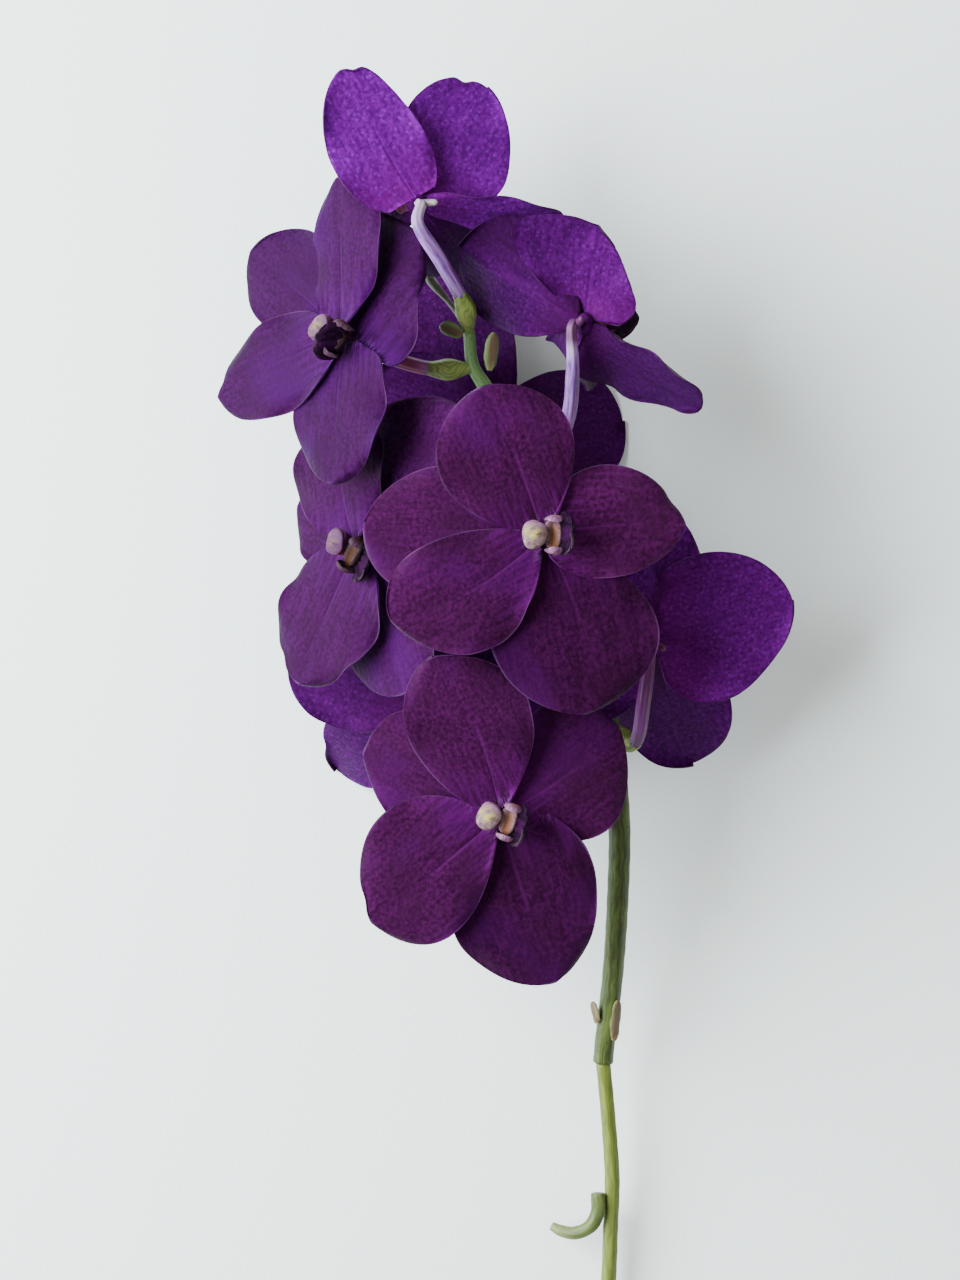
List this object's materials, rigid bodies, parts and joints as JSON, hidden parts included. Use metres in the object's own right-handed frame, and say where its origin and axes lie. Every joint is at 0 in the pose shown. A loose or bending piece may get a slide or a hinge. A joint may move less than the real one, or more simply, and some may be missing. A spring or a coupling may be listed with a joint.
{
  "type": "vanda orchid stem",
  "caption": "Cut vanda orchid stem lying down, with violet mottled blooms crowded on short lilac stalks along a bare green stem.",
  "frame": {"origin": "centre of the footprint on the surface that the spray lies on", "axes": "+Z up from the surface, +Y along the stem from its cut end towards the youngest bloom, +X to the right as seen from above with +Y up"},
  "size_m": [0.1619, 0.3913, 0.0954],
  "materials": {
    "violet_tepal": "soft waxy sheen",
    "dark_lip": "smooth, slightly glossy",
    "cream_column": "waxy",
    "lilac_stalk": "smooth, ribbed, waxy",
    "green_stem": "smooth green with dark specks",
    "pale_stem": "smooth pale lime green",
    "side_shoot": "smooth green",
    "green_scale": "thin and matt",
    "brown_scale": "dry and matt"
  },
  "bodies": {
    "root": {"green_stem": "green_stem", "pale_stem": "pale_stem", "side_shoot": "side_shoot", "small_bud_scale": "green_scale", "large_bud_scale": "green_scale", "broken_leaf_scale": "brown_scale", "brown_leaf_scale": "brown_scale", "centre_bloom_tepals": "violet_tepal", "centre_bloom_lip": "dark_lip", "centre_bloom_column": "cream_column", "centre_bloom_ovary": "lilac_stalk", "bottom_bloom_tepals": "violet_tepal", "bottom_bloom_lip": "dark_lip", "bottom_bloom_column": "cream_column", "bottom_bloom_ovary": "lilac_stalk", "left_bloom_tepals": "violet_tepal", "left_bloom_lip": "dark_lip", "left_bloom_column": "cream_column", "left_bloom_ovary": "lilac_stalk", "upper_left_bloom_tepals": "violet_tepal", "upper_left_bloom_lip": "dark_lip", "upper_left_bloom_column": "cream_column", "upper_left_bloom_ovary": "lilac_stalk", "upper_right_bloom_tepals": "violet_tepal", "upper_right_bloom_lip": "dark_lip", "upper_right_bloom_column": "cream_column", "upper_right_bloom_ovary": "lilac_stalk", "top_bloom_tepals": "violet_tepal", "top_bloom_lip": "dark_lip", "top_bloom_column": "cream_column", "top_bloom_ovary": "lilac_stalk", "right_bloom_tepals": "violet_tepal", "right_bloom_lip": "dark_lip", "right_bloom_column": "cream_column", "right_bloom_ovary": "lilac_stalk", "lower_left_bloom_tepals": "violet_tepal", "lower_left_bloom_lip": "dark_lip", "lower_left_bloom_column": "cream_column", "lower_left_bloom_ovary": "lilac_stalk", "back_bloom_tepals": "violet_tepal", "back_bloom_lip": "dark_lip", "back_bloom_column": "cream_column", "back_bloom_ovary": "lilac_stalk"}
  },
  "joints": []
}
